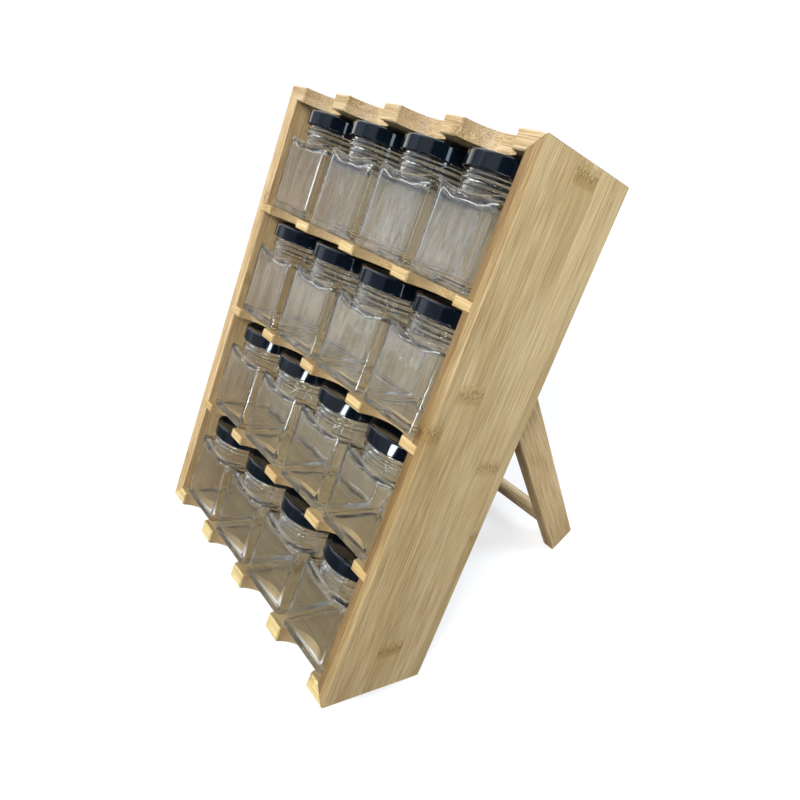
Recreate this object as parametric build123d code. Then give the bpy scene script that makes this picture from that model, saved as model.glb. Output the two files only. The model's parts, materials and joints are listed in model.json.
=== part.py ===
# Foldable bamboo spice rack with square glass jars, standing on its rear leg frame.
#
# Every piece is drawn in the rack's own upright frame, with X to the right, Y from the front edges
# to the rear and Z up the panels. The whole rack is then leaned back, so that the rear bottom edge
# and the two feet stand on Z = 0, with the origin under the middle of the object.
from build123d import *
import math
import os

# Jars: the rack is laid out around them, in millimetres
jar_width = 49.0
jar_corner_radius = 4.0
jar_heel_chamfer = 1.6
jar_wall = 2.2
jar_base_thickness = 4.0
jar_corner_height = 54.0
shoulder_slope = 22.0
shoulder_glass = 3.0
neck_set_in = 1.7
neck_glass = 2.5
neck_bead_stand_out = 1.4
neck_bead_height = 3.4
neck_bead_bottom = 56.4

# Lids
lid_stand_out = 2.6
lid_skirt_bottom = 62.5
lid_height = 9.6
lid_wall = 0.8
lid_edge_chamfer = 1.0
lid_panel_recess = 0.5
lid_rim_width = 3.2
lid_seat_gap = 0.3

# Rack boards
jar_columns = 4
jar_rows = 4
jar_side_room = 6.0
jar_head_room = 2.2
jar_front_inset = 3.0
lid_back_gap = 0.4
frame_thickness = 10.0
shelf_thickness = 6.0
housing_depth = 5.0
back_thickness = 2.8
tab_width = 15.0
end_tab_width = 8.5
scallop_depth = 17.0
edge_chamfer = 0.8

# Folding leg frame
leg_width = 23.4
leg_thickness = 10.0
leg_length = 197.3
leg_top_length = 16.0
leg_top_radius = 6.0
leg_swing_gap = 0.25
leg_side_gap = 2.0
leg_pivot_height = 215.5
leg_open_angle = 48.35
dowel_radius = 6.0
dowel_socket_depth = 6.0
dowel_from_foot = 20.4

# Pivot screws and washers
screw_radius = 2.0
screw_running_gap = 0.05
screw_bite = 7.5
screw_head_radius = 4.2
screw_head_height = 2.6
screw_head_chamfer = 1.3
screw_slot_length = 5.0
screw_slot_width = 1.0
screw_slot_depth = 1.2
washer_radius = 6.0
washer_thickness = 1.0
washer_gap = 0.1

# Where each jar stands in its bay, to the right of the middle, top row first
jar_nudges = (
    (-1.5, -1.5, -1.5, -1.5),
    (-1.0, -1.0, -1.0, -2.0),
    (0.0, 0.0, 0.0, 0.0),
    (0.0, 0.0, 0.0, 0.0),
)

# How far from a plane an edge may lie and still be picked as on it
pick_tolerance = 0.01

# Layout worked out from the sizes above
neck_radius = jar_width / 2 - neck_set_in
neck_bore_radius = neck_radius - neck_glass
lid_radius = neck_radius + lid_stand_out
bay_width = jar_width + jar_side_room
inner_width = jar_columns * bay_width
rack_width = inner_width + 2 * frame_thickness
bay_height = lid_skirt_bottom + lid_height + jar_head_room
shelf_pitch = bay_height + shelf_thickness
rack_height = 2 * frame_thickness + jar_rows * bay_height + (jar_rows - 1) * shelf_thickness
bay_depth = jar_front_inset + jar_width / 2 + max(lid_radius, jar_width / 2) + lid_back_gap
recess_front = bay_depth + back_thickness
rack_depth = recess_front + leg_width + 2 * leg_swing_gap
pivot_y = recess_front + leg_swing_gap + leg_width / 2
leg_outer_x = inner_width / 2 - leg_side_gap
leg_inner_x = leg_outer_x - leg_thickness
housed_half_width = inner_width / 2 + housing_depth

# The open leg's foot, and the lean that puts it on the same floor as the rear bottom edge
open_turn = math.radians(leg_open_angle)
foot_y = pivot_y + leg_length * math.sin(open_turn) - leg_width / 2 * math.cos(open_turn)
foot_z = leg_pivot_height - leg_length * math.cos(open_turn) - leg_width / 2 * math.sin(open_turn)
lean = math.degrees(math.atan2(foot_z, foot_y - rack_depth))
lean_sin = math.sin(math.radians(lean))
lean_cos = math.cos(math.radians(lean))
heel_y = foot_y + leg_width * math.cos(open_turn)
heel_z = foot_z + leg_width * math.sin(open_turn)
rearmost_y = max(
    heel_y * lean_cos + heel_z * lean_sin,
    rack_depth * lean_cos + rack_height * lean_sin,
)
frontmost_y = edge_chamfer * lean_sin
standing = Location(
    (0, -(frontmost_y + rearmost_y) / 2, rack_depth * lean_sin),
    (-lean, 0, 0),
)


def side_extrusion(points, depth):
    """A solid with this outline across X and Z, running back from the front edges."""
    return extrude(Plane.XZ * Polygon(*points, align=None), amount=-depth)


def box_between(low, high):
    """A box from its lowest corner to its highest."""
    size = [h - l for l, h in zip(low, high)]
    return Pos(*low) * Box(*size, align=Align.MIN)


def bay_centre_x(column):
    return (column + 0.5) * bay_width - inner_width / 2


def shelf_top(row):
    """Height of the surface that this row's jars stand on, with row 0 at the top."""
    return frame_thickness + (jar_rows - 1 - row) * shelf_pitch


def scallops(low, high):
    """The round notches in a board's front edge, one in front of each jar."""
    cutters = Part()
    for column in range(jar_columns):
        left = column * bay_width - inner_width / 2
        right = left + bay_width
        left += end_tab_width if column == 0 else tab_width / 2
        right -= end_tab_width if column == jar_columns - 1 else tab_width / 2
        half_chord = (right - left) / 2
        radius = (half_chord**2 + scallop_depth**2) / (2 * scallop_depth)
        notch = Cylinder(radius, high - low, align=(Align.CENTER, Align.CENTER, Align.MIN))
        cutters += Pos((left + right) / 2, scallop_depth - radius, low) * notch
    return cutters


def ease_tabs(board):
    """Chamfers the tabs' front edges, but not where a board ends in a joint."""
    front = board.edges().filter_by_position(Axis.Y, -pick_tolerance, pick_tolerance)
    upright = front.filter_by(Axis.Z).filter_by(lambda e: abs(e.center().X) < inner_width / 2)
    return chamfer(upright + front.filter_by(Axis.X), edge_chamfer)


def side_panel(side):
    """A side board with mitred ends, stopped housings for the shelves and a groove for the back."""
    inner, outer = inner_width / 2, rack_width / 2
    outline = [
        (outer, 0),
        (outer, rack_height),
        (inner, rack_height - frame_thickness),
        (inner, frame_thickness),
    ]
    panel = side_extrusion(outline, rack_depth)
    front = panel.edges().filter_by_position(Axis.Y, -pick_tolerance, pick_tolerance)
    panel = chamfer(front.filter_by(Axis.Z), edge_chamfer)
    for row in range(jar_rows - 1):
        top = shelf_top(row)
        panel -= box_between(
            (inner, 0, top - shelf_thickness), (housed_half_width, bay_depth, top)
        )
    panel -= box_between(
        (inner, bay_depth, frame_thickness - housing_depth),
        (housed_half_width, recess_front, rack_height - frame_thickness + housing_depth),
    )
    pilot = Cylinder(screw_radius, screw_bite, rotation=(0, 90, 0))
    panel -= Pos(inner + screw_bite / 2, pivot_y, leg_pivot_height) * pilot
    return panel if side > 0 else mirror(panel, Plane.YZ)


def end_board(at_top):
    """The top or bottom board: mitred ends, scalloped front edge and a groove for the back."""
    inner, outer = inner_width / 2, rack_width / 2
    outline = [
        (-outer, 0),
        (outer, 0),
        (inner, frame_thickness),
        (-inner, frame_thickness),
    ]
    board = side_extrusion(outline, rack_depth) - scallops(0, frame_thickness)
    board = ease_tabs(board)
    board -= box_between(
        (-housed_half_width, bay_depth, frame_thickness - housing_depth),
        (housed_half_width, recess_front, frame_thickness),
    )
    if at_top:
        board = Pos(0, 0, rack_height) * mirror(board, Plane.XY)
    return board


def shelf(row):
    """A thin shelf whose ends sit in the side panels' housings."""
    top = shelf_top(row)
    bottom = top - shelf_thickness
    board = box_between((-housed_half_width, 0, bottom), (housed_half_width, bay_depth, top))
    return ease_tabs(board - scallops(bottom, top))


def back_panel():
    """The thin panel behind the jars, held in grooves all round."""
    edge = frame_thickness - housing_depth
    return box_between(
        (-housed_half_width, bay_depth, edge),
        (housed_half_width, recess_front, rack_height - edge),
    )


def leg_frame_open(piece):
    """Turns a piece of the leg frame from hanging straight down to its open position."""
    pivot = Axis((0, pivot_y, leg_pivot_height), (1, 0, 0))
    return piece.rotate(pivot, leg_open_angle)


def leg(side):
    """A flat bar: round in front of its pivot so that it can swing, then bevelled as the stop
    that meets the back panel when the leg is open. The foot is cut square."""
    front = -leg_width / 2
    swing = -front
    bevel_start_y = -swing * math.cos(open_turn)
    bevel_start_z = swing * math.sin(open_turn)
    bevel_end_y = (-swing + leg_top_length * math.sin(open_turn)) / math.cos(open_turn)
    outline = Polyline(
        (bevel_start_y, bevel_start_z),
        (bevel_end_y, leg_top_length),
        (leg_width / 2, leg_top_length),
        (leg_width / 2, -leg_length),
        (front, -leg_length),
        (front, 0),
    )
    nose = ThreePointArc(
        (front, 0),
        (-swing * math.cos(open_turn / 2), swing * math.sin(open_turn / 2)),
        (bevel_start_y, bevel_start_z),
    )
    bar = extrude(Plane.YZ * make_face([*outline.edges(), nose.edge()]), amount=leg_thickness)
    top_corner = bar.edges().filter_by(Axis.X).group_by(Axis.Z)[-1].sort_by(Axis.Y)[-1]
    bar = fillet(top_corner, leg_top_radius)
    long_edges = bar.edges().filter_by(Axis.Z)
    bar = chamfer(long_edges, edge_chamfer)
    bar -= Cylinder(screw_radius + screw_running_gap, 2 * leg_thickness, rotation=(0, 90, 0))
    socket = Cylinder(dowel_radius, dowel_socket_depth, rotation=(0, 90, 0))
    bar -= Pos(dowel_socket_depth / 2, 0, dowel_from_foot - leg_length) * socket
    bar = leg_frame_open(Pos(leg_inner_x, pivot_y, leg_pivot_height) * bar)
    return bar if side > 0 else mirror(bar, Plane.YZ)


def leg_dowel():
    """The round rod between the legs, glued into their blind sockets."""
    length = 2 * (leg_inner_x + dowel_socket_depth)
    rod = Cylinder(dowel_radius, length, rotation=(0, 90, 0))
    return leg_frame_open(Pos(0, pivot_y, leg_pivot_height - leg_length + dowel_from_foot) * rod)


def pivot_part(inner_x, outline):
    """A turned piece on both pivots: outline runs from its inner end, as steps of length and
    radius along the pivot's axis."""
    turned = Part()
    at = inner_x
    for length, radius in outline:
        step = Cylinder(radius, length, rotation=(0, 90, 0))
        turned += Pos(at + length / 2, pivot_y, leg_pivot_height) * step
        at += length
    return turned


def pivot_screws():
    """Two round-headed wood screws, through the legs and into the side panels."""
    head_x = leg_inner_x - washer_gap - washer_thickness - screw_head_height
    shank = inner_width / 2 + screw_bite - head_x - screw_head_height
    screw = pivot_part(head_x, [(screw_head_height, screw_head_radius), (shank, screw_radius)])
    crown = screw.edges().filter_by(GeomType.CIRCLE).group_by(Axis.X)[0]
    screw = chamfer(crown, screw_head_chamfer)
    for turn in (0, 90):
        slot = Box(2 * screw_slot_depth, screw_slot_length, screw_slot_width)
        slot = slot.rotate(Axis.X, turn)
        screw -= Pos(head_x, pivot_y, leg_pivot_height) * slot
    return screw + mirror(screw, Plane.YZ)


def washers(inner_x, thickness):
    """A washer on each pivot, with room to turn on the screw."""
    disc = pivot_part(inner_x, [(thickness, washer_radius)])
    disc -= pivot_part(inner_x, [(thickness, screw_radius + screw_running_gap)])
    return disc + mirror(disc, Plane.YZ)


def rounded_square(width, radius, low, high):
    """A square prism with rounded upright edges."""
    return Pos(0, 0, low) * extrude(RectangleRounded(width, width, radius), amount=high - low)


def revolved(points):
    """A solid of revolution about Z from an outline of (radius, height) points."""
    return revolve(Plane.XZ * Polygon(*points, align=None), Axis.Z)


def jar():
    """A square glass jar with a round neck. The shoulder is a shallow dish round the neck, so the
    four corners stand a little higher than the middle of each side."""
    body = rounded_square(jar_width, jar_corner_radius, 0, jar_corner_height)
    heel = body.faces().sort_by(Axis.Z)[0].edges()
    body = chamfer(heel, jar_heel_chamfer)
    rise = math.tan(math.radians(shoulder_slope))
    shoulder_end = jar_width / 2
    neck_base = jar_corner_height - (shoulder_end * math.sqrt(2) - neck_radius) * rise
    over = 2 * shoulder_end
    body -= revolved(
        [
            (0, neck_base),
            (neck_radius, neck_base),
            (over, neck_base + (over - neck_radius) * rise),
            (0, neck_base + (over - neck_radius) * rise),
        ]
    )
    mouth = lid_skirt_bottom + lid_height - lid_wall - lid_panel_recess - lid_seat_gap
    bead_low, bead_high = neck_bead_bottom, neck_bead_bottom + neck_bead_height
    bead_radius = neck_radius + neck_bead_stand_out
    body += revolved(
        [
            (0, jar_base_thickness),
            (neck_radius, jar_base_thickness),
            (neck_radius, bead_low),
            (bead_radius, bead_low + neck_bead_stand_out),
            (bead_radius, bead_high - neck_bead_stand_out),
            (neck_radius, bead_high),
            (neck_radius, mouth),
            (0, mouth),
        ]
    )
    ceiling = neck_base - shoulder_glass
    inner_width_of_jar = jar_width - 2 * jar_wall
    inner_corner = jar_corner_radius - jar_wall
    body -= rounded_square(inner_width_of_jar, inner_corner, jar_base_thickness, ceiling)
    bore = Cylinder(neck_bore_radius, mouth - ceiling, align=(Align.CENTER, Align.CENTER, Align.MIN))
    return body - Pos(0, 0, ceiling) * bore


def lid():
    """A twist-off metal lid: a drawn cap with an eased edge and a slightly sunk top."""
    top = lid_skirt_bottom + lid_height
    inside_top = top - lid_panel_recess - lid_wall
    cap = revolved(
        [
            (0, lid_skirt_bottom),
            (lid_radius, lid_skirt_bottom),
            (lid_radius, top),
            (lid_radius - lid_rim_width, top),
            (lid_radius - lid_rim_width - lid_panel_recess, top - lid_panel_recess),
            (0, top - lid_panel_recess),
        ]
    )
    rim = cap.edges().filter_by(GeomType.CIRCLE).group_by(Axis.Z)[-1].sort_by(SortBy.RADIUS)[-1]
    cap = chamfer(rim, lid_edge_chamfer)
    hollow = Cylinder(
        lid_radius - lid_wall,
        inside_top - lid_skirt_bottom,
        align=(Align.CENTER, Align.CENTER, Align.MIN),
    )
    return cap - Pos(0, 0, lid_skirt_bottom) * hollow


def build():
    """Every node's solids by name, in the rack's upright frame."""
    nodes = {
        "side_panel_left": side_panel(-1),
        "side_panel_right": side_panel(1),
        "top_board": end_board(True),
        "bottom_board": end_board(False),
        "back_panel": back_panel(),
        "leg_left": leg(-1),
        "leg_right": leg(1),
        "leg_dowel": leg_dowel(),
        "pivot_screws": pivot_screws(),
        "pivot_washers": washers(leg_inner_x - washer_gap - washer_thickness, washer_thickness),
        "pivot_spacers": washers(leg_outer_x + washer_gap, leg_side_gap - washer_gap),
    }
    for row in range(jar_rows - 1):
        nodes[f"shelf_{row + 1}"] = shelf(row)
    one_jar, one_lid = jar(), lid()
    for row in range(jar_rows):
        for column in range(jar_columns):
            x = bay_centre_x(column) + jar_nudges[row][column]
            place = Pos(x, jar_front_inset + jar_width / 2, shelf_top(row))
            nodes[f"jar_{row + 1}_{column + 1}"] = place * one_jar
            nodes[f"lid_{row + 1}_{column + 1}"] = place * one_lid
    return nodes


os.makedirs("parts", exist_ok=True)
for name, solids in build().items():
    export_step(standing * solids, f"parts/{name}.step")
print(f"rack {rack_width:.1f} wide, {rack_depth:.1f} deep, {rack_height:.1f} tall, lean {lean:.2f}")
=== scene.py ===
# %% [markdown]
# # A foldable spice rack with sixteen glass jars
# The real object is a shallow bamboo case that leans back on a folding leg frame. Four rows of
# square glass jars with black twist lids stand in it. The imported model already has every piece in
# its place, in metres, so this script only adds looks: rounded edges on the wood, moulded glass,
# drawn metal lids, a finish for every surface, and the light and camera of the photograph.

# %% Load the frame
import json
import math
import random

import bmesh
import bpy
import numpy as np
from mathutils import Matrix, Vector


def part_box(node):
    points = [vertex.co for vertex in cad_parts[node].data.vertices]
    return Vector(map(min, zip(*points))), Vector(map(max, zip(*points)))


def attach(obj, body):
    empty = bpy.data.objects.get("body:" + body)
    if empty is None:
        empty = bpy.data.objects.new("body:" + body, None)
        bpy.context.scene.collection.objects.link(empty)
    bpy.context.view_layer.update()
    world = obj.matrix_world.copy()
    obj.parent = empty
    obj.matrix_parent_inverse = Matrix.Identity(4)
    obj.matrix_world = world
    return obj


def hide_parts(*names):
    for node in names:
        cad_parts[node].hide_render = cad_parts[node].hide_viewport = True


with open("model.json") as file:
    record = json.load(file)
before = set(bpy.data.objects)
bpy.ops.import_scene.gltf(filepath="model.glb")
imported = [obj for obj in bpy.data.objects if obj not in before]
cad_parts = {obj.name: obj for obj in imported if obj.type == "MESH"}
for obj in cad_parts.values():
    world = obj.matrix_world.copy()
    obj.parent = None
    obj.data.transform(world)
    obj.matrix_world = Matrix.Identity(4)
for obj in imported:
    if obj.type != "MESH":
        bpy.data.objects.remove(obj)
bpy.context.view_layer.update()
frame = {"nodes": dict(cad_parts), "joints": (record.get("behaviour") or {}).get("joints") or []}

scene = bpy.context.scene
scene.view_settings.view_transform = "Standard"
# A ray through four jars in a row crosses sixteen glass surfaces, so the bounces are many.
scene.cycles.max_bounces = scene.cycles.transmission_bounces = 24
scene.cycles.glossy_bounces = 16
scene.cycles.transparent_max_bounces = 48

# %% [markdown]
# ## The rack's own axes
# The rack leans back, so its boards follow none of the scene's axes. Its joints know how it
# leans: a jar slides straight out of the front, and a lid turns about the jar's upright middle
# line. Reading those two directions gives the rack an upright frame of its own. Sizes in that
# frame are in millimetres, because that is how a joiner would measure it.

# %% Axes and places in the upright rack
MM = 0.001
joints = {joint["name"]: joint for joint in frame["joints"]}
right = Vector((1, 0, 0))
up = Vector(joints["lid_1_1_twist"]["axis"]).normalized()
back = -Vector(joints["jar_1_1_slide"]["axis"]).normalized()
pivot_depth, pivot_height = 68.05, 215.5
pivot = Vector((0, *joints["leg_fold"]["pos_m"][1:]))
corner = pivot - (back * pivot_depth + up * pivot_height) * MM


def place(across, depth, height):
    """A point of the upright rack, in millimetres from its front bottom middle, in the scene."""
    return corner + (right * across + back * depth + up * height) * MM


def standing(base):
    """The matrix that puts an upright piece drawn in millimetres on this point of the rack."""
    columns = [axis * MM for axis in (right, back, up)] + [base]
    return Matrix([[column[row] for column in columns] for row in range(3)] + [[0, 0, 0, 1]])


print("up", up[:], "back", back[:], "corner", corner[:])

# %% [markdown]
# ## The camera
# The photograph was taken close by, from the right and from above, with the camera tilted a
# little to one side. The place, aim, roll and lens below were fitted to the corners of the rack
# in the picture. The small shift is there because the picture is a cut from a wider frame.

# %% Camera
camera_at, camera_aim = place(317.8, -227.8, 276.7), place(109.1, 0, 201.8)
camera_roll = math.radians(-3.55)
camera_data = bpy.data.cameras.new("camera")
camera_data.lens, camera_data.sensor_width = 27.62, 36.0
camera_data.shift_x, camera_data.shift_y = -0.0380, -0.0150
camera_data.clip_start = 0.01
camera = bpy.data.objects.new("camera", camera_data)
looking = (camera_aim - camera_at).to_track_quat("-Z", "Y").to_matrix().to_4x4()
camera.matrix_world = Matrix.Translation(camera_at) @ looking @ Matrix.Rotation(camera_roll, 4, "Z")
scene.collection.objects.link(camera)
scene.camera = camera
print("camera at", [round(v, 3) for v in camera_at])

# %% [markdown]
# ## Writing materials as sums
# A procedural finish is mostly arithmetic on positions and noise. Adding each Math node by hand
# hides that, so a small class wraps a socket: when Python adds or multiplies two of them, it
# adds the Math node. Every other node comes from one method, which sets the node's settings
# first and then its sockets.


# %% Sockets that do sums
class Wire:
    """One value on its way through a node tree. A plain number may come first, as in 1 - mask."""

    def __init__(self, board, socket):
        self.board = board
        self.socket = socket

    def math(self, operation, *parts):
        return self.board.add("ShaderNodeMath", {"operation": operation}, dict(enumerate(parts)))

    def __add__(self, other):
        return self.math("ADD", self, other)

    def __sub__(self, other):
        return self.math("SUBTRACT", self, other)

    def __rsub__(self, other):
        return self.math("SUBTRACT", other, self)

    def __mul__(self, other):
        return self.math("MULTIPLY", self, other)

    def __truediv__(self, other):
        return self.math("DIVIDE", self, other)

    def __mod__(self, other):
        return self.math("FLOORED_MODULO", self, other)

    def __floordiv__(self, other):
        return self.math("FLOOR", self / other)

    def __lt__(self, other):
        return self.math("LESS_THAN", self, other)

    def __abs__(self):
        return self.math("ABSOLUTE", self)

    __radd__ = __add__
    __rmul__ = __mul__


# %% The board that nodes go on
class Board:
    """A node tree that nodes are added to."""

    def __init__(self, tree):
        self.tree = tree

    def add(self, kind, settings=None, values=None, out=0):
        """Adds a node: its settings, then its sockets, by name or number. Gives one output."""
        node = self.tree.nodes.new(kind)
        for name, value in (settings or {}).items():
            if name in ("stops", "steps"):
                set_stops(node.color_ramp, value)
                node.color_ramp.interpolation = "LINEAR" if name == "stops" else "CONSTANT"
            else:
                setattr(node, name, value)
        for name, value in (values or {}).items():
            if isinstance(value, Wire):
                self.tree.links.new(value.socket, node.inputs[name])
            else:
                node.inputs[name].default_value = value
        return Wire(self, node.outputs[out]) if len(node.outputs) else node


def set_stops(ramp, stops):
    """Gives a colour ramp these (position, colour) stops."""
    while len(ramp.elements) < len(stops):
        ramp.elements.new(1.0)
    for element, (position, colour) in zip(ramp.elements, stops):
        element.position = position
        element.color = colour


# %% Colours, and the few shader nodes that come back often
def tone(red, green, blue):
    """A colour in steps of 0 to 255, as a screen shows it, turned into the light a shader takes."""
    steps = [value / 255 for value in (red, green, blue)]
    return (*[((s + 0.055) / 1.055) ** 2.4 if s > 0.04045 else s / 12.92 for s in steps], 1.0)


def new_material(name):
    """An empty material, and the board that its nodes go on."""
    material = bpy.data.materials.new(name)
    material.use_nodes = True
    material.node_tree.nodes.clear()
    return material, Board(material.node_tree)


def spot(board, origin=(0, 0, 0)):
    """The shaded point, in metres from origin."""
    point = board.add("ShaderNodeTexCoord", out="Object")
    return board.add("ShaderNodeVectorMath", {"operation": "SUBTRACT"}, {0: point, 1: origin})


def dot(board, first, second):
    values = {0: first, 1: second}
    return board.add("ShaderNodeVectorMath", {"operation": "DOT_PRODUCT"}, values, out="Value")


def along_axis(board, point, axis):
    """How far a point is along an axis, in millimetres."""
    return dot(board, point, Vector(axis) / MM)


def vector(board, x, y, z):
    return board.add("ShaderNodeCombineXYZ", values={0: x, 1: y, 2: z})


def noise(board, point, detail=2.0, rough=0.5):
    values = {"Vector": point, "Scale": 1.0, "Detail": detail, "Roughness": rough}
    return board.add("ShaderNodeTexNoise", values=values)


def fade(board, value, start, end, low=0.0, high=1.0):
    """Goes smoothly from low to high while value goes from start to end."""
    values = {"Value": value, "From Min": start, "From Max": end, "To Min": low, "To Max": high}
    return board.add("ShaderNodeMapRange", {"interpolation_type": "SMOOTHSTEP"}, values)


def chance(board, key):
    """A fixed random number from 0 to 1 for each whole key."""
    return board.add("ShaderNodeTexWhiteNoise", {"noise_dimensions": "1D"}, {"W": key})


def blend(board, factor, first, second, kind="MIX"):
    """Goes from the first colour to the second. The colour sockets of this node are 6 and 7."""
    settings = {"data_type": "RGBA", "blend_type": kind}
    return board.add("ShaderNodeMix", settings, {0: factor, 6: first, 7: second}, out=2)


def shaded(board, values):
    """A finished surface: the Principled shader with these sockets, joined to the output."""
    surface = board.add("ShaderNodeBsdfPrincipled", values=values)
    board.add("ShaderNodeOutputMaterial", values={"Surface": surface})


# %% [markdown]
# ## Bamboo
# Bamboo board is glued up from split strips, two fingers wide. The fibres run along them as fine
# broken streaks that sway a little, each strip has a slightly different tone, and every hand or
# two a strip shows the ring where the living cane had a joint: a brown patch with short dashes
# across it, and a browner stretch below. The streaks are three-dimensional noise, stretched along
# the grain, so a sawn edge shows the same fibres end-on as dots. One function gives each board
# its own grain direction and seed. On the right panel, which everyone sees, the rings are put at
# the heights they have on the real one.


# %% The ring where the cane had a joint
def looked_up(board, number, values):
    """The entry of a short list that a whole number counts to, as a value from 0 to 1."""
    steps = [(index / len(values), (value, value, value, 1)) for index, value in enumerate(values)]
    counted = (number + 0.5) / len(values)
    return board.add("ShaderNodeValToRGB", {"steps": steps}, {"Fac": counted})


def cane_joint(board, colour, place_in_strip, key, strip_number, rings):
    """Adds the ring of each strip to its colour: a brown patch, dark dashes with pale gaps, and a
    browner stretch below. Gives the new colour and how much of the ring is there."""
    along, swayed, through = place_in_strip
    gap = 296.0  # from one ring of a strip to its next
    if rings is None:
        ring_place = chance(board, key + 0.5) * gap
        strength = chance(board, key + 0.75) * 0.5 + 0.3
    else:
        ring_place = looked_up(board, strip_number, [height / gap for height, _ in rings]) * gap
        strength = looked_up(board, strip_number, [bold for _, bold in rings])
    from_ring = (along - ring_place + gap / 2) % gap - gap / 2
    wave = noise(board, vector(board, swayed * 0.28, key, through * 0.28), 3.0, 0.6) * 5.0 - 2.5
    dashes = noise(board, vector(board, along * 0.45 + key, swayed * 0.9, through * 0.9), 2.0, 0.6)
    near = abs(from_ring + wave)
    patch = fade(board, abs(from_ring + wave * 0.5), 7.0, 4.0) * strength * 0.6
    below = fade(board, from_ring, -95.0, 0.0) * (from_ring < 0.0) * strength * 0.42
    ring = fade(board, near, 3.6, 0.8) * fade(board, dashes, 0.42, 0.56)
    flecks = fade(board, abs(from_ring), 6.5, 4.0) * fade(board, dashes, 0.52, 0.64) * 0.7
    pale = fade(board, abs(from_ring - 2.0), 5.5, 2.0) * fade(board, dashes, 0.46, 0.38) * 0.35
    colour = blend(board, patch + below, colour, tone(162, 134, 86))
    dark = fade(board, ring + flecks, 0.0, 1.0, 0.0, 0.58)
    colour = blend(board, dark, colour, tone(118, 94, 52))
    return blend(board, pale, colour, tone(218, 198, 156)), ring


# %% Laminated bamboo
level, upright, deep = (right, back, up), (up, back, right), (up, right, back)


def tinted(board, colour, filter_colour):
    """A colour seen through a coloured filter."""
    return blend(board, 1.0, colour, filter_colour, "MULTIPLY")


def bamboo(
    name, origin, grain, seed, strip=20.7, layer=5.0, painted_shade_within=0.0, edge=None, tint=None, rings=None
):
    """Bamboo with its grain along the first axis, strips across the second and layers through the
    third, all in millimetres. painted_shade_within is how far from the middle the board is darkened
    with painted shade, for the shade on the inner side of a panel's front; farther out it keeps its
    paler colour. edge is painted light or painted shade on the sides that face across
    the strips, on a level board only the tabs at its front, and tint colours the whole. rings are
    the height and the strength of each strip's joint, from the strip at the front on."""
    material, board = new_material(name)
    point = spot(board, origin)
    along, across, through = [along_axis(board, point, axis) for axis in grain]
    layer_number = (through + 0.01) // layer
    first_strip_cut = 0.55
    shift = chance(board, layer_number + seed) if rings is None else first_strip_cut
    strip_place = across / strip + shift
    strip_number = strip_place // 1.0
    key = strip_number * 3.7 + layer_number * 17.0 + seed
    strip_tone = chance(board, key)

    sway = noise(board, vector(board, along * 0.008 + key, through * 0.02, seed), 1.0) * 5.0
    swayed = across + sway
    # Each noise runs slowly along the grain and fast across it, in turns per millimetre.
    fine = noise(board, vector(board, along * 0.036 + key, swayed * 2.5, through * 2.5), 2.0, 0.6)
    fibres = noise(board, vector(board, along * 0.010 + key, swayed * 1.3, through * 1.3))
    streaks = noise(board, vector(board, along * 0.006, swayed * 0.4 + key, through * 0.4))
    clouds = noise(board, vector(board, along * 0.014, across * 0.06 + key, through * 0.06))
    body = fine * 0.52 + fibres * 0.20 + streaks * 0.10 + clouds * 0.18 + strip_tone * 0.05
    light = fade(board, body, 0.36, 0.67)
    colour = board.add(
        "ShaderNodeValToRGB",
        {"stops": [
            (0.0, tone(146, 118, 80)),
            (0.28, tone(173, 147, 106)),
            (0.52, tone(189, 165, 125)),
            (0.76, tone(202, 180, 142)),
            (1.0, tone(217, 198, 163)),
        ]},
        {"Fac": light},
    )
    rosy = tinted(board, colour, tone(254, 250, 246))
    colour = blend(board, chance(board, key + 0.25), rosy, colour)
    facing = board.add("ShaderNodeNewGeometry", out="Normal")
    sawn = abs(dot(board, facing, Vector(grain[0])))
    pores = fade(board, fine, 0.56, 0.44, 0.25, 1.0) * fade(board, sawn, 0.25, 0.85, 0.0, 0.42)
    colour = blend(board, pores, colour, tone(150, 116, 78))
    darker = tinted(board, colour, tone(222, 220, 216))
    colour = blend(board, fade(board, sawn, 0.2, 0.6), colour, darker)
    colour, ring = cane_joint(board, colour, (along, swayed, through), key, strip_number, rings)

    from_edge = abs(strip_place % 1.0 - 0.5) * strip
    glue = fade(board, from_edge, strip / 2 - 0.3, strip / 2) * 0.14
    colour = blend(board, glue, colour, tone(140, 112, 78))
    # Painted shade: the inner part of the board, towards the rack's middle, is made browner for the
    # shade on the inner side of its front.
    if painted_shade_within:
        brown = tinted(board, colour, tone(208, 194, 180))
        colour = blend(board, abs(through) < painted_shade_within, colour, brown)
    # Painted light and shade: the narrow sides that face across the strips are made lighter or
    # darker for how the light falls on them.
    if edge:
        narrow = fade(board, abs(dot(board, facing, Vector(grain[1]))), 0.5, 0.8)
        if grain is level:
            narrow = narrow * fade(board, across, 8.0, 4.0)
        colour = blend(board, narrow, colour, tinted(board, colour, tone(*edge)))
    if tint:
        colour = tinted(board, colour, tone(*tint))

    rough = 0.48 - light * 0.10 + ring * 0.15
    relief = fine * 0.6 + fibres * 0.3 - ring * 1.0 - glue * 1.5
    bump = board.add(
        "ShaderNodeBump", values={"Strength": 0.5, "Distance": 0.00012, "Height": relief}
    )
    values = {"Base Color": colour, "Roughness": rough, "Normal": bump, "Specular IOR Level": 0.35}
    shaded(board, values)
    return material


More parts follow.
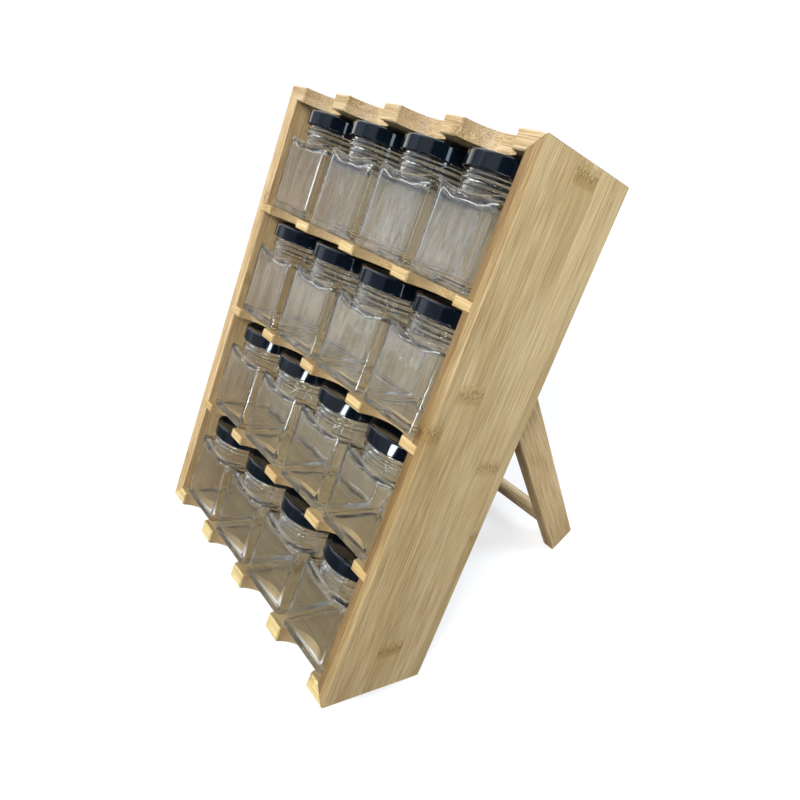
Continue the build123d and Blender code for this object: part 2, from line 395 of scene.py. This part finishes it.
# %% Each board's own bamboo
dowel_middle = sum((Vector(v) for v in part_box("leg_dowel")), Vector()) / 2
leg_along = (dowel_middle - pivot).normalized()
leg_across = right.cross(leg_along)
board_finish = bamboo("bamboo_boards", corner, level, 3.0)
# Painted light: the tab fronts of the shelves and of the bottom board are made lighter by their
# edge colour.
shelf_wood_and_painted_light = bamboo(
    "bamboo_shelves", corner, level, 29.0, layer=80.3, edge=(263, 263, 256), tint=(262, 261, 250)
)
panel_rings = ((180, 1.0), (204, 0.5), (32, 0.9), (160, 0.45), (110, 0.55))
# Painted shade: the right panel's inner part and its front and back sides are made darker.
right_wood_and_painted_shade = bamboo(
    "bamboo_right_panel", corner, upright, 61.0, painted_shade_within=115.0, edge=(218, 217, 208),
    tint=(257, 255, 248), rings=panel_rings,
)
bottom_wood_and_painted_light = bamboo(
    "bamboo_bottom", corner, level, 17.0, edge=(294, 301, 289), tint=(246, 246, 238)
)
left_finish = bamboo("bamboo_left_panel", corner, upright, 11.0, tint=(258, 254, 246))
# The back panel's tint is painted shade: it darkens and greys the whole panel for the dim inside of
# the rack.
back_wood_and_painted_shade = bamboo("bamboo_back_painted_shade", corner, deep, 47.0, layer=20.0, tint=(199, 202, 207))
leg_finish = bamboo(
    "bamboo_legs", pivot, (leg_along, leg_across, right), 83.0, strip=24.0, tint=(265, 258, 250)
)
rod_finish = bamboo("bamboo_rod", pivot, level, 95.0, strip=30.0, layer=40.0)
print("leg direction", [round(v, 3) for v in leg_along])

# %% [markdown]
# ## Eased edges
# A joiner takes the sharpness off every edge with a block, and those small rounds are what
# catches the light along a board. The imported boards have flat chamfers, made of loose triangles.
# A copy of each is welded, its flat faces are joined up again, and every hard edge is bevelled.


# %% Pieces that take the place of packed ones, or keep their shape
def show(mesh, name, body, slot, *nodes):
    """Puts a finished mesh in the scene, on its body, in place of these CAD nodes."""
    piece = bpy.data.objects.new(name, mesh)
    scene.collection.objects.link(piece)
    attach(piece, body)
    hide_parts(*nodes)


def refinish(node, finish):
    """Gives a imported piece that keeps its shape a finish."""
    materials = frame["nodes"][node].data.materials
    materials.clear()
    materials.append(finish)


# %% Wooden pieces with eased edges
def computed(holder):
    """The plain mesh that an object's modifiers make. They are removed, and the object too."""
    seen = holder.evaluated_get(bpy.context.evaluated_depsgraph_get())
    mesh = bpy.data.meshes.new_from_object(seen)
    holder.modifiers.clear()
    bpy.data.objects.remove(holder)
    return mesh


def eased(node, ease, finish):
    """A mesh of the CAD node with its hard edges rounded over by ease millimetres."""
    work = bmesh.new()
    work.from_mesh(frame["nodes"][node].data)
    bmesh.ops.remove_doubles(work, verts=work.verts, dist=0.002 * MM)
    bmesh.ops.dissolve_limit(
        work, angle_limit=math.radians(0.5), verts=work.verts, edges=work.edges
    )
    hard = [e for e in work.edges if e.is_manifold and e.calc_face_angle() > math.radians(24)]
    bmesh.ops.bevel(
        work, geom=hard, offset=ease * MM, offset_type="OFFSET", segments=3, profile=0.5,
        affect="EDGES", clamp_overlap=True,
    )
    mesh = bpy.data.meshes.new(f"{node}_wood")
    work.to_mesh(mesh)
    work.free()
    mesh.shade_smooth()
    mesh.materials.append(finish)
    holder = bpy.data.objects.new("holder", mesh)
    scene.collection.objects.link(holder)
    weights = holder.modifiers.new("weights", "WEIGHTED_NORMAL")
    weights.weight = 90
    return computed(holder)


hand_eased = 0.35  # millimetres taken off every hard edge
wooden = {
    "rack": {
        "side_panel_left": left_finish,
        "side_panel_right": right_wood_and_painted_shade,
        "top_board": board_finish,
        "bottom_board": bottom_wood_and_painted_light,
        "shelf_1": shelf_wood_and_painted_light,
        "shelf_2": shelf_wood_and_painted_light,
        "shelf_3": shelf_wood_and_painted_light,
    },
    "leg_frame": {"leg_left": leg_finish, "leg_right": leg_finish},
}
for body, boards in wooden.items():
    for node, finish in boards.items():
        mesh = eased(node, hand_eased, finish)
        show(mesh, f"{node}_wood", body, "bamboo", node)
        print(node, "has", len(mesh.polygons), "faces")
refinish("back_panel", back_wood_and_painted_shade)
refinish("leg_dowel", rod_finish)

# %% [markdown]
# ## Glass
# Clear glass has no colour of its own, only a hint of green where it is thick. What makes it read
# as glass is what it bends and mirrors, so the wall gets its real thickness and an index of 1.5.
# Light for the wood behind it has to pass too. Bent light reaches it slowly and noisily, so lamp
# rays and scattered rays go straight through, and only what the eye sees is bent.


# %% Shaders that are mixed by the kind of ray
def either(first, second):
    return first.math("MAXIMUM", first, second)


def ray(board, kind):
    """1 for rays of this kind, and 0 for all others."""
    return board.add("ShaderNodeLightPath", out=f"Is {kind} Ray")


def mixed(board, factor, first, second):
    return board.add("ShaderNodeMixShader", values={0: factor, 1: first, 2: second})


def matt(board, *colour):
    return board.add("ShaderNodeBsdfDiffuse", values={"Color": (*colour, 1)})


# %% Jar glass
glass, board = new_material("jar_glass")
point = spot(board, corner)
across, depth, height = [along_axis(board, point, axis) for axis in (right, back, up)]
drawn = vector(board, across * 0.11, depth * 0.11, height * 0.022)
bump = board.add(
    "ShaderNodeBump",
    values={"Strength": 0.4, "Distance": 0.0003, "Height": noise(board, drawn, 0.0)},
)
clear = board.add(
    "ShaderNodeBsdfPrincipled",
    values={
        "Base Color": (0.972, 0.978, 0.972, 1),
        "Roughness": 0.015,
        "IOR": 1.5,
        "Transmission Weight": 1.0,
        "Normal": bump,
    },
)
dust = 0.003
clear = mixed(board, dust, clear, matt(board, 0.86, 0.88, 0.90))
open_way = board.add("ShaderNodeBsdfTransparent", values={"Color": (0.93, 0.935, 0.93, 1)})
surface = mixed(board, either(ray(board, "Shadow"), ray(board, "Diffuse")), clear, open_way)
board.add("ShaderNodeOutputMaterial", values={"Surface": surface})
print("glass has", len(glass.node_tree.nodes), "nodes")

# %% [markdown]
# ## The jars
# A pressed jar is a square body under a round neck. One grid makes both: every point of the jar
# lies in one of 120 directions from the middle line, and on one of the rings that run from under
# the base, up the outside, over the lip and down the inside. A ring can be square, round or
# something in between, and the directions crowd together at the corners, where the outline
# turns. The inside was shaped by a plunger and air, so it isn't flat: a slow ripple there gives
# each jar its own watery distortion.

# %% Directions and ring shapes
jar_half, jar_corner = 24.5, 4.0
flat_steps, corner_steps = 26, 12
middle = jar_half - jar_corner
flat = np.linspace(-middle, middle, flat_steps + 1)[:-1]
turn = np.radians(np.linspace(0, 90, corner_steps + 1))[:-1]
quarter = np.concatenate([
    np.arctan2(flat, jar_half),
    np.arctan2(middle + jar_corner * np.sin(turn), middle + jar_corner * np.cos(turn)),
])
angles = np.concatenate([quarter + side * math.pi / 2 for side in range(4)])


def square_reach(half, rounding):
    """How far a rounded square reaches from its middle, in every direction."""
    folded = np.abs((angles + math.pi / 4) % (math.pi / 2) - math.pi / 4)
    centre = half - rounding
    reach = centre * (np.cos(folded) + np.sin(folded))
    over = rounding**2 - (centre * (np.cos(folded) - np.sin(folded))) ** 2
    on_corner = reach + np.sqrt(np.maximum(over, 0))
    return np.where(half * np.tan(folded) <= centre, half / np.cos(folded), on_corner)


def rounded_line(corners, steps=6, hold=0.25):
    """Points of a line through (x, y, radius) corners, each turned by an arc. Long straight runs
    get a point just inside each end, which keeps them flat when they are shaded smooth."""
    line = [Vector(corners[0][:2])]
    for before, here, after in zip(corners, corners[1:], corners[2:]):
        spot_here, radius = Vector(here[:2]), here[2]
        to_before = (Vector(before[:2]) - spot_here).normalized()
        to_after = (Vector(after[:2]) - spot_here).normalized()
        half = to_before.angle(to_after) / 2
        sweep = math.pi - 2 * half
        centre = spot_here + (to_before + to_after).normalized() * radius / math.sin(half)
        first = spot_here + to_before * radius / math.tan(half) - centre
        last = spot_here + to_after * radius / math.tan(half) - centre
        for step in range(steps + 1):
            part = sweep * step / steps
            line.append(
                centre + (first * math.sin(sweep - part) + last * math.sin(part)) / math.sin(sweep)
            )
    line.append(Vector(corners[-1][:2]))
    held = [line[0]]
    for start, end in zip(line, line[1:]):
        run = (end - start).length
        if run > 4 * hold:
            held += [start.lerp(end, hold / run), start.lerp(end, 1 - hold / run)]
        held.append(end)
    return held


print(len(angles), "directions")

# %% A jar's sizes
neck_radius, bore_radius, neck_base, mouth = 22.8, 20.3, 49.213, 70.5
slope = math.radians(22)
outline = square_reach(jar_half, jar_corner)


def shoulder_height(reach):
    """How high the sloping shoulder is at this distance from the jar's middle line."""
    return neck_base + (reach - neck_radius) * math.tan(slope)


# %% The outside of a jar, to the foot of its neck
def outside_rings():
    """The outside of a jar from under its base to the foot of its neck, as (reach, height)."""
    rings = [
        (square_reach(half, rounding), height)
        for half, rounding, height in [
            (6, 6, 1.0), (12, 9, 0.95), (17, 8, 0.7), (20, 6.5, 0.25), (21.6, 5.5, 0.02),
        ]
    ]
    heel = 2.2
    for turned in np.radians(np.linspace(0, 90, 8)):
        half = jar_half - heel * (1 - math.sin(turned))
        rounding = 5 - math.sin(turned)
        rings.append((square_reach(half, rounding), heel * (1 - math.cos(turned))))
    rings += [(outline, height) for height in (2.5, 8, 14, 20, 26, 32, 38, 44)]
    rim = 0.7 + 0.06 * (outline - jar_half)
    rim_height = shoulder_height(outline) - rim * (math.tan(slope) + 1 / math.cos(slope))
    rings += [(outline, (44 + rim_height) / 2), (outline, rim_height - 0.3)]
    for turned in np.linspace(0, math.pi / 2 + slope, 8):
        rings.append(
            (outline - rim + rim * math.cos(turned), rim_height + rim * math.sin(turned))
        )
    foot = 0.5 + 0.12 * (outline - jar_half)
    foot_height = shoulder_height(neck_radius + foot) + foot / math.cos(slope)
    start_reach = neck_radius + foot * (1 + math.sin(slope))
    end_reach = rings[-1][0]
    for part in (0.12, 0.5, 0.88):
        reach = end_reach + (start_reach - end_reach) * part
        rings.append((reach, shoulder_height(reach)))
    for turned in np.linspace(slope - math.pi / 2, -math.pi, 6):
        rings.append(
            (neck_radius + foot * (1 + math.cos(turned)), foot_height + foot * math.sin(turned))
        )
    return rings


# %% The neck, the lip and the bore
def neck_rings():
    """The neck with its beads and its short threads, the lip and the bore."""
    beads = [
        (neck_radius, 52.0, 0), (neck_radius, 53.0, 0.3), (23.2, 53.5, 0.5), (23.2, 54.2, 0.5),
        (neck_radius, 54.8, 0.4), (neck_radius, 55.5, 0.4), (24.3, 56.3, 0.7), (24.3, 57.5, 0.7),
        (23.1, 58.4, 0.5), (23.1, 59.0, 0.3), (23.6, 59.4, 0.4), (23.6, 60.3, 0.4),
        (neck_radius, 60.9, 0.4), (neck_radius, 62.8, 0),
    ]
    rings = [(point.x, point.y) for point in rounded_line(beads, 4)]
    thread_start, thread_rise, thread_sweep, thread_depth = 64.2, 2.6, 1.25, 0.85
    for height in np.arange(63.2, 69.0, 0.4):
        ridge = np.zeros_like(angles)
        for start in np.arange(4) * math.pi / 2:
            turned = (angles - start) % (2 * math.pi)
            across = height - (thread_start + thread_rise * turned)
            ends = np.clip(turned / 0.15, 0, 1) * np.clip((thread_sweep - turned) / 0.15, 0, 1)
            ridge = np.maximum(ridge, ends * np.exp(-((across / 0.7) ** 2)))
        rings.append((neck_radius + thread_depth * ridge, height))
    lip = [
        (neck_radius, 69.1, 0), (neck_radius, mouth, 1.2), (bore_radius, mouth, 1.0),
        (bore_radius, 49.4, 0),
    ]
    return rings + [(point.x, point.y) for point in rounded_line(lip, 6)]


# %% The inside of a jar
def inside_shoulder(wall, part):
    """A ring on the inside from the bore, part 0, to the wall, part 1. At the corners it runs out
    under the shoulder at an even thickness, and at the sides the wall is straight below."""
    glass_over, turn_in, turn_down = 2.8, 2.0, 1.8
    start = bore_radius + turn_in
    ceiling = shoulder_height(start) - glass_over
    if part <= 0.3:
        swing = part / 0.3 * math.pi / 2
        reach = start - turn_in * math.cos(swing) + 0 * wall
        height = ceiling + turn_in * (1 - math.sin(swing))
    elif part <= 0.65:
        reach = start + (wall - turn_down - start) * (part - 0.3) / 0.35
        height = shoulder_height(reach) - glass_over
    else:
        swing = (part - 0.65) / 0.35 * math.pi / 2
        reach = wall - turn_down * (1 - math.sin(swing))
        height = shoulder_height(wall - turn_down) - glass_over - turn_down * (1 - math.cos(swing))
    plain_reach = bore_radius + (wall - bore_radius) * (1 - math.cos(math.pi * part)) / 2
    plain_height = ceiling + turn_in - 4.2 * part
    room = np.clip((wall - 24.0) / 4.0, 0, 1)
    return (
        plain_reach + (reach - plain_reach) * room,
        plain_height + (height - plain_height) * room,
    )


def inside_rings(seed):
    """The inside from the bore to the floor, with the ripple of this jar's own pressing."""
    rng = random.Random(seed)
    waves = [
        (rng.choice((5, 7, 9, 11)), rng.uniform(-0.09, 0.09), rng.uniform(0, 2 * math.pi))
        for _ in range(7)
    ]
    inner_half, inner_corner = 22.3, 1.9
    wall = square_reach(inner_half, inner_corner)
    rings = [inside_shoulder(wall, part) for part in np.linspace(0, 1, 13)]
    highest, lowest, ripple_depth = 42, 7.2, 0.02
    for height in np.linspace(highest, lowest, 14):
        ripple = sum(np.sin(turns * angles + rise * height + phase) for turns, rise, phase in waves)
        calm = min((height - lowest) / 14, (highest + 2 - height) / 8, 1)
        rings.append((wall + ripple_depth * calm * ripple, height))
    fillet = 2.4
    for turned in np.radians(np.linspace(10, 90, 8)):
        half = inner_half - fillet * (1 - math.cos(turned))
        rings.append((square_reach(half, inner_corner), 4 + fillet * (1 - math.sin(turned))))
    rings += [(square_reach(12, 9), 4.12), (square_reach(7, 7), 4.3), (square_reach(3, 3), 4.4)]
    return rings


# %% A whole jar
def jar_mesh(name, seed, base):
    """One jar, closed at the middle of its base and of its floor."""
    rings = outside_rings() + neck_rings() + inside_rings(seed)
    count, steps = len(rings), len(angles)
    reach = np.array([np.broadcast_to(ring[0], angles.shape) for ring in rings])
    height = np.array([np.broadcast_to(ring[1], angles.shape) for ring in rings])
    points = np.stack([reach * np.cos(angles), reach * np.sin(angles), height], axis=-1)
    base_middle, floor_middle = (0, 0, 1.0), (0, 0, 4.42)
    points = [*points.reshape(-1, 3), base_middle, floor_middle]
    under, floor = len(points) - 2, len(points) - 1
    faces = []
    for ring in range(count - 1):
        for step in range(steps):
            after = (step + 1) % steps
            low, high = ring * steps, (ring + 1) * steps
            faces.append((low + step, low + after, high + after, high + step))
    last = (count - 1) * steps
    for step in range(steps):
        after = (step + 1) % steps
        faces.append((under, after, step))
        faces.append((floor, last + step, last + after))
    mesh = bpy.data.meshes.new(name)
    mesh.from_pydata(points, [], faces)
    mesh.transform(standing(base))
    mesh.shade_smooth()
    mesh.materials.append(glass)
    return mesh


# %% Sixteen jars
jar_base = {}
for row in range(1, 5):
    for column in range(1, 5):
        bay = f"{row}_{column}"
        mouth_at = Vector(joints[f"lid_{bay}_twist"]["pos_m"])
        jar_base[bay] = mouth_at - up * mouth * MM
        mesh = jar_mesh(f"jar_{bay}_glass", f"jar {bay}", jar_base[bay])
        show(mesh, f"jar_{bay}_glass", f"jar_{bay}", "jar_glass", f"jar_{bay}")
print("each jar has", len(mesh.polygons), "faces")

# %% [markdown]
# ## Black enamel
# The lids are pressed from tinplate and stoved black. The enamel is glossy and very dark, with
# the faint orange peel of a sprayed coat and a slightly greyer bloom where hands have been. The
# sunk panel on top is duller than the skirt, because it is rubbed by every hand and shelf, so it
# has a finish of its own with a weaker and softer gloss.


# %% Lid enamel
def scaled(board, line, factor):
    return board.add("ShaderNodeVectorMath", {"operation": "SCALE"}, {0: line, "Scale": factor})


def stoved(name, gloss, smooth, hazy):
    """Black enamel with a level of gloss, and its roughness where it is clean and hazy."""
    enamel, board = new_material(name)
    point = spot(board)
    peel = noise(board, scaled(board, point, 900.0))
    bloom = noise(board, scaled(board, point, 55.0), 3.0, 0.6)
    shaded(board, {
        "Base Color": blend(
            board, fade(board, bloom, 0.35, 0.75), tone(4, 10, 18), tone(6, 14, 25)
        ),
        "Roughness": fade(board, bloom, 0.3, 0.75, smooth, hazy),
        "Normal": board.add(
            "ShaderNodeBump", values={"Strength": 0.06, "Distance": 0.00005, "Height": peel}
        ),
        "Specular IOR Level": gloss,
    })
    return enamel


enamel = stoved("lid_enamel", 0.5, 0.035, 0.07)
rubbed_enamel = stoved("lid_top_enamel", 0.22, 0.16, 0.26)
print("finishes", [enamel.name, rubbed_enamel.name])

# %% [markdown]
# ## The lids
# A drawn lid is a shape of revolution: a sunk panel, a raised rim, a rounded edge, a straight
# skirt and a curled lower edge. Sixteen of them repeat, so a Geometry Nodes tree makes one from
# its half outline, which it sweeps round a circle. Four lugs on the curl, which grip the jar's
# threads, are one short arc that the tree repeats by turning it.


# %% Running a geometry tree
def grown(tree, start, sizes):
    """Runs a geometry tree on a mesh with its named sizes, and gives the plain mesh it makes."""
    holder = bpy.data.objects.new("holder", start)
    scene.collection.objects.link(holder)
    modifier = holder.modifiers.new("grow", "NODES")
    modifier.node_group = tree
    for item in tree.interface.items_tree:
        if item.item_type == "SOCKET" and item.name in sizes:
            modifier[item.identifier] = sizes[item.name]
    return computed(holder)


# %% The tree that makes a lid
def lid_tree():
    """The tree that makes one lid from its half outline and its sizes."""
    tree = bpy.data.node_groups.new("lid", "GeometryNodeTree")
    face = tree.interface
    face.new_socket("Half outline", in_out="INPUT", socket_type="NodeSocketGeometry")
    for name in ("Radius", "Lug radius", "Lug height"):
        face.new_socket(name, in_out="INPUT", socket_type="NodeSocketFloat")
    for name in ("Directions", "Lugs"):
        face.new_socket(name, in_out="INPUT", socket_type="NodeSocketInt")
    face.new_socket("Lid", in_out="OUTPUT", socket_type="NodeSocketGeometry")
    board = Board(tree)
    given = {
        name: board.add("NodeGroupInput", out=name)
        for name in ("Half outline", "Radius", "Lug radius", "Lug height", "Directions", "Lugs")
    }
    half = board.add("GeometryNodeMeshToCurve", values={"Mesh": given["Half outline"]})
    ring = board.add(
        "GeometryNodeCurvePrimitiveCircle",
        values={"Resolution": given["Directions"], "Radius": given["Radius"]},
    )
    cap = board.add("GeometryNodeCurveToMesh", values={"Curve": ring, "Profile Curve": half})
    cap = board.add("GeometryNodeMergeByDistance", values={"Geometry": cap, "Distance": 0.01})
    arc = board.add(
        "GeometryNodeCurveArc",
        {"mode": "RADIUS"},
        {"Resolution": 10, "Radius": given["Lug radius"], "Sweep Angle": math.radians(20)},
    )
    section = board.add(
        "GeometryNodeCurvePrimitiveQuadrilateral", values={"Width": 1.5, "Height": 0.7}
    )
    section = board.add(
        "GeometryNodeFilletCurve", {"mode": "POLY"}, {"Curve": section, "Count": 3, "Radius": 0.3}
    )
    lug = board.add(
        "GeometryNodeCurveToMesh",
        values={"Curve": arc, "Profile Curve": section, "Fill Caps": True},
    )
    number = board.add("GeometryNodeInputIndex")
    turned = vector(board, 0.0, 0.0, number * 2.0 * math.pi / given["Lugs"])
    raised = vector(board, 0.0, 0.0, given["Lug height"])
    centres = board.add("GeometryNodePoints", values={"Count": given["Lugs"], "Position": raised})
    lugs = board.add(
        "GeometryNodeInstanceOnPoints",
        values={"Points": centres, "Instance": lug, "Rotation": turned},
    )
    join = tree.nodes.new("GeometryNodeJoinGeometry")
    for part in (lugs, cap):
        tree.links.new(part.socket, join.inputs[0])
    whole = board.add("GeometryNodeRealizeInstances", values={0: Wire(board, join.outputs[0])})
    whole = board.add("GeometryNodeSetMaterial", values={"Geometry": whole, "Material": enamel})
    board.add("NodeGroupOutput", values={"Lid": whole})
    return tree


# %% Sixteen lids
lid_radius, skirt_bottom, lid_top, panel_drop, tin = 25.4, 62.5, 72.1, 0.5, 0.8
half_outline = rounded_line([
    (0, lid_top - panel_drop, 0),
    (21.9, lid_top - panel_drop, 0.35),
    (22.3, lid_top, 0.5),
    (lid_radius, lid_top, 1.5),
    (lid_radius, skirt_bottom, 0.55),
    (24.2, skirt_bottom, 0.5),
    (24.2, skirt_bottom + 1.1, 0.3),
    (lid_radius - tin, skirt_bottom + 1.4, 0.3),
    (lid_radius - tin, lid_top - panel_drop - tin, 0.5),
    (0, lid_top - panel_drop - tin, 0),
])
outline_mesh = bpy.data.meshes.new("lid_half_outline")
outline_mesh.from_pydata(
    [(point.x - lid_radius, -point.y, 0) for point in half_outline],
    [(step, step + 1) for step in range(len(half_outline) - 1)],
    [],
)
one_lid = grown(lid_tree(), outline_mesh, {
    "Radius": lid_radius, "Lug radius": 23.9, "Lug height": skirt_bottom + 0.6,
    "Directions": 96, "Lugs": 4,
})
one_lid.shade_smooth()
one_lid.materials.clear()
for finish in (enamel, rubbed_enamel):
    one_lid.materials.append(finish)
for polygon in one_lid.polygons:
    sunk_panel = polygon.normal.z > 0.9 and abs(polygon.center.z - lid_top + panel_drop) < 0.1
    polygon.material_index = int(sunk_panel)
on_top = sum(polygon.material_index for polygon in one_lid.polygons)
print("each lid has", len(one_lid.polygons), "faces,", on_top, "of them on its sunk panel")
for bay, base in jar_base.items():
    mesh = one_lid.copy()
    mesh.name = f"lid_{bay}_cap"
    mesh.transform(standing(base))
    show(mesh, f"lid_{bay}_cap", f"lid_{bay}", "lid_black", f"lid_{bay}")

# %% [markdown]
# ## Steel
# The pivot screws and washers sit on the inner side of the legs. They are small and bright, and
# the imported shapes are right, so they only need a finish: plated steel with the fine turning
# marks that a lathe leaves round the head.


# %% Plated steel
def length(board, line):
    return board.add("ShaderNodeVectorMath", {"operation": "LENGTH"}, {0: line}, out="Value")


steel, board = new_material("plated_steel")
from_pivot = spot(board, pivot)
depth, height = [along_axis(board, from_pivot, axis) for axis in (back, up)]
from_middle = length(board, vector(board, depth, height, 0.0))
marks = noise(board, vector(board, from_middle * 9.0, 0.0, 0.0))
shaded(board, {
    "Base Color": blend(board, marks, tone(150, 150, 150), tone(196, 195, 190)),
    "Metallic": 1.0,
    "Roughness": fade(board, marks, 0.3, 0.7, 0.22, 0.38),
})
for node in ("pivot_screws", "pivot_washers", "pivot_spacers"):
    refinish(node, steel)
    print(node, "in", steel.name)

# %% [markdown]
# ## Floor, sky and lamps
# The photograph was cut out on white. A floor and a sky that are white to the camera give that,
# as long as the floor still takes the rack's shadow, so near the rack it is part lamp-white and
# part real paint. Glass that is looked straight through shows the same white behind the rack.
# What glass and enamel mirror is another matter: a dim floor with haze far away, and a room that
# is bright at the left, with a curtain's folds, and dark at the right. Three lamps light the
# wood, from the front, the right and, weakly, from behind. The windows and the bulb are seen in
# gloss and glass only, where they give the lids their bright bars. Distances here are in metres.


# %% Floor
def parts_of(board, line):
    """The three parts of a vector: towards the right, the back and the sky."""
    return [board.add("ShaderNodeSeparateXYZ", values={0: line}, out=axis) for axis in range(3)]


def glowing(board, *colour):
    return board.add("ShaderNodeEmission", values={"Color": (*colour, 1), "Strength": 1.0})


floor_mesh = bpy.data.meshes.new("floor")
half_floor, under_the_feet = 40.0, -0.0002
corners = [(x * half_floor, y * half_floor, 0) for x, y in ((-1, -1), (1, -1), (1, 1), (-1, 1))]
floor_mesh.from_pydata(corners, [], [range(4)])
floor = bpy.data.objects.new("floor", floor_mesh)
floor.location.z = under_the_feet
scene.collection.objects.link(floor)
floor_paint, board = new_material("floor_paint")
point = spot(board)
away = length(board, point)
across, depth, _ = parts_of(board, point)
seen, through, mirrored = [ray(board, kind) for kind in ("Camera", "Transmission", "Glossy")]
hazy = fade(board, away, 0.5, 7.0) * fade(board, across / away, 0.30, 0.16)
dim = mixed(board, hazy, matt(board, 0.075, 0.08, 0.085), glowing(board, 0.29, 0.34, 0.39))
solid = mixed(board, either(mirrored, through), matt(board, 0.12, 0.12, 0.12), dim)
outer = fade(board, away, 0.35, 1.2, 0.6, 1.0)
backdrop = mixed(board, outer, matt(board, 1, 1, 1), glowing(board, 1, 1, 1))
# Glass shows the white floor behind the rack and the dim floor in front of it.
straight = through * fade(board, depth, -0.20, -0.10, 0.03, 1.0)
white = seen.math("MINIMUM", seen + straight + mirrored * 0.03, 1.0)
surface = mixed(board, white, solid, backdrop)
board.add("ShaderNodeOutputMaterial", values={"Surface": surface})
floor_mesh.materials.append(floor_paint)
print("floor reaches", half_floor, "m each way")

# %% Sky
world = bpy.data.worlds.new("room")
world.use_nodes = True
world.node_tree.nodes.clear()
scene.world = world
board = Board(world.node_tree)
direction = board.add("ShaderNodeTexCoord", out="Generated")
towards_right, towards_back, rise = parts_of(board, direction)
room = board.add(
    "ShaderNodeValToRGB",
    {"stops": [
        (0.0, (0.28, 0.34, 0.42, 1)),
        (0.07, (0.29, 0.35, 0.43, 1)),
        (0.13, (0.84, 0.90, 0.98, 1)),
        (0.20, (1.00, 1.07, 1.18, 1)),
        (0.30, (1.04, 1.15, 1.36, 1)),
        (0.36, (0.80, 0.93, 1.14, 1)),
        (0.44, (0.48, 0.60, 0.74, 1)),
        (0.52, (0.80, 0.98, 1.15, 1)),
        (0.60, (1.30, 1.55, 1.75, 1)),
        (1.0, (1.60, 1.70, 1.75, 1)),
    ]},
    {"Fac": rise},
)
# How far round from the front a direction is. The left is below 0.
around = towards_right / (0.2 - towards_back)
# The curtain's folds are dimmer at its far end and towards the middle of the room.
folds = noise(board, vector(board, around * 32.0, rise * 5.0, 0.0), 3.0, 0.6)
folds = fade(board, folds, 0.40, 0.59, 0.45, 1.40) * fade(board, around, -1.45, -1.1, 0.36, 1.12)
folds = folds * fade(board, around, -0.75, -0.50, 1.0, 0.45)
room = scaled(board, room, folds)
# Beside the rack on the left is a white wall, and the right half of the room is dark.
left_wall = fade(board, towards_back, -0.35, -0.05) * fade(board, towards_right, -0.2, -0.5)
room = blend(board, left_wall, room, (2.5, 2.5, 2.5, 1))
shade = fade(board, towards_right, 0.16, 0.30, 0.0, 0.95)
room = blend(board, shade, room, (0.02, 0.03, 0.05, 1))
seen, through, mirrored = [ray(board, kind) for kind in ("Camera", "Transmission", "Glossy")]
even_sky = (0.58, 0.62, 0.67, 1)
room = blend(board, either(mirrored, through), even_sky, room)
straight = through * fade(board, towards_back, -0.1, 0.1)
colour = blend(board, either(seen, straight), room, (1, 1, 1, 1))
light = board.add("ShaderNodeBackground", values={"Color": colour, "Strength": 1.0})
board.add("ShaderNodeOutputWorld", values={"Surface": light})
print("sky has", len(world.node_tree.nodes), "nodes")


# %% Lamps
middle_of_rack = place(0, 40, 168)


def lamp(name, at, width, height, power, colour, mirrored=False):
    """A rectangular lamp aimed at the rack, in metres and watts. A mirrored one is there only for
    gloss and glass."""
    data = bpy.data.lights.new(name, "AREA")
    data.shape = "RECTANGLE"
    data.size, data.size_y = width, height
    data.energy = power
    data.color = colour
    thing = bpy.data.objects.new(name, data)
    thing.visible_glossy = thing.visible_transmission = mirrored
    thing.visible_diffuse = not mirrored
    facing = (middle_of_rack - Vector(at)).to_track_quat("-Z", "Y").to_matrix().to_4x4()
    thing.matrix_world = Matrix.Translation(at) @ facing
    scene.collection.objects.link(thing)


lamp("front_lamp", (0.70, -1.45, 2.00), 1.3, 1.1, 70.0, (1.0, 0.985, 0.95))
lamp("side_lamp", (0.50, 0.42, 0.56), 0.25, 0.25, 3.3, (0.78, 0.90, 1.0))
lamp("back_lamp", (-1.0, 1.0, 0.9), 0.8, 0.8, 7.0, (1.0, 0.98, 0.95))
lamp("low_window", (2.50, -5.35, 1.19), 4.4, 0.27, 125.0, (0.80, 0.93, 1.0), mirrored=True)
lamp("tall_window", (4.40, -1.70, 1.95), 0.6, 2.6, 28.0, (0.68, 0.83, 1.0), mirrored=True)
lamp("bulb", (0.70, -1.45, 2.00), 0.17, 0.17, 22.0, (1.0, 0.98, 0.96), mirrored=True)
